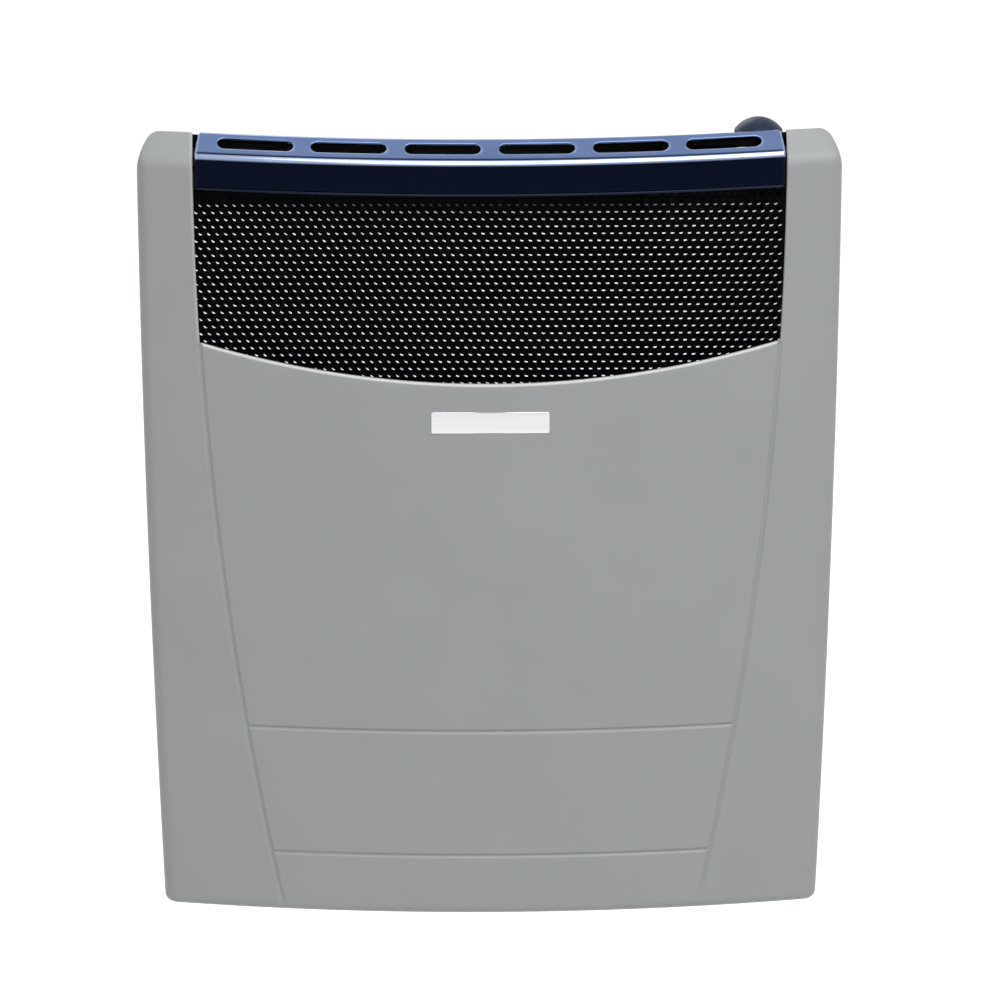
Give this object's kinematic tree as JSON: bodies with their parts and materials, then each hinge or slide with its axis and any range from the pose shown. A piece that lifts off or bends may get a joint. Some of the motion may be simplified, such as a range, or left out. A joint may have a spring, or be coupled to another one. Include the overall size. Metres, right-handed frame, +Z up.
{
  "type": "gas heater",
  "caption": "Wall mounted balanced-flue gas heater with a bowed grey casing, black perforated grille, glossy blue slotted top band and a control knob behind it.",
  "frame": {"origin": "middle of the four wall fixings, on the wall plane", "axes": "+Z up, +Y into the wall, front towards -Y, +X to the right seen from the front"},
  "size_m": [0.5812, 0.241, 0.6624],
  "materials": {
    "casing_paint": "satin grey paint",
    "band_enamel": "glossy dark blue enamel",
    "grille_black": "satin black paint",
    "seal_rubber": "matt",
    "nameplate_metal": "brushed",
    "zinc_steel": "zinc plated",
    "bright_steel": "bright plated",
    "aluminised_steel": "aluminised",
    "black_enamel": "heat-proof enamel",
    "inner_black": "satin black enamel",
    "fibre_gasket": "pressed fibre",
    "brass": "machined",
    "thermocouple_metal": "drawn",
    "copper": "drawn copper",
    "white_ceramic": "glazed",
    "sight_glass": "clear",
    "valve_aluminium": "die cast",
    "lead_rubber": "satin",
    "knob_plastic": "satin blue-grey",
    "button_plastic": "satin black"
  },
  "bodies": {
    "heater": {"casing": "casing_paint", "top_band": "band_enamel", "grille": "grille_black", "band_seals": "seal_rubber", "lead_gland": "seal_rubber", "nameplate": "nameplate_metal", "valve_bracket": "zinc_steel", "pilot_bracket": "zinc_steel", "burner_feet": "zinc_steel", "air_collar": "zinc_steel", "casing_screws": "bright_steel", "bonnet_screws": "bright_steel", "igniter_nut": "bright_steel", "knob_spring": "bright_steel", "igniter_spring": "bright_steel", "union_nut": "bright_steel", "inlet_pipe": "bright_steel", "burner_pipe": "bright_steel", "heat_shield": "aluminised_steel", "exhaust_collar": "aluminised_steel", "burner": "aluminised_steel", "chamber_back": "black_enamel", "chamber_front": "black_enamel", "burner_door": "black_enamel", "wall_plate": "inner_black", "side_rails": "inner_black", "air_box": "inner_black", "control_shelf": "inner_black", "chamber_brackets": "inner_black", "grille_clips": "inner_black", "flue_gasket": "fibre_gasket", "door_gasket": "fibre_gasket", "door_nuts": "brass", "injector_holder": "brass", "injector": "brass", "pilot_burner": "brass", "pipe_nuts": "brass", "gas_inlet": "brass", "rod_bush": "brass", "magnet_unit": "brass", "sight_ring": "brass", "thermocouple": "thermocouple_metal", "pilot_tube": "copper", "thermocouple_lead": "copper", "spark_electrode": "white_ceramic", "sight_glass": "sight_glass", "valve_body": "valve_aluminium", "valve_bonnet": "valve_aluminium", "ignition_lead": "lead_rubber", "igniter_body": "button_plastic"},
    "thrust": {"thrust_washer": "bright_steel"},
    "knob": {"knob": "knob_plastic", "control_rod": "bright_steel", "rod_coupling": "bright_steel", "valve_spindle": "bright_steel"},
    "button": {"igniter_button": "button_plastic"}
  },
  "joints": [
    {"name": "knob_push", "type": "slide", "parent": "heater", "child": "thrust", "axis": [0, 0, -1], "range_m": [0, 0.006], "stiffness_N_per_m": 800, "springref_m": -0.01, "deforming": ["knob_spring"]},
    {"name": "knob_turn", "type": "hinge", "parent": "thrust", "child": "knob", "pos_m": [0.221, -0.1293, 0.3], "axis": [0, 0, 1], "range_deg": [0, 180]},
    {"name": "igniter_press", "type": "slide", "parent": "heater", "child": "button", "axis": [0, 0, -1], "range_m": [0, 0.005], "stiffness_N_per_m": 900, "springref_m": -0.004, "deforming": ["igniter_spring"]}
  ]
}
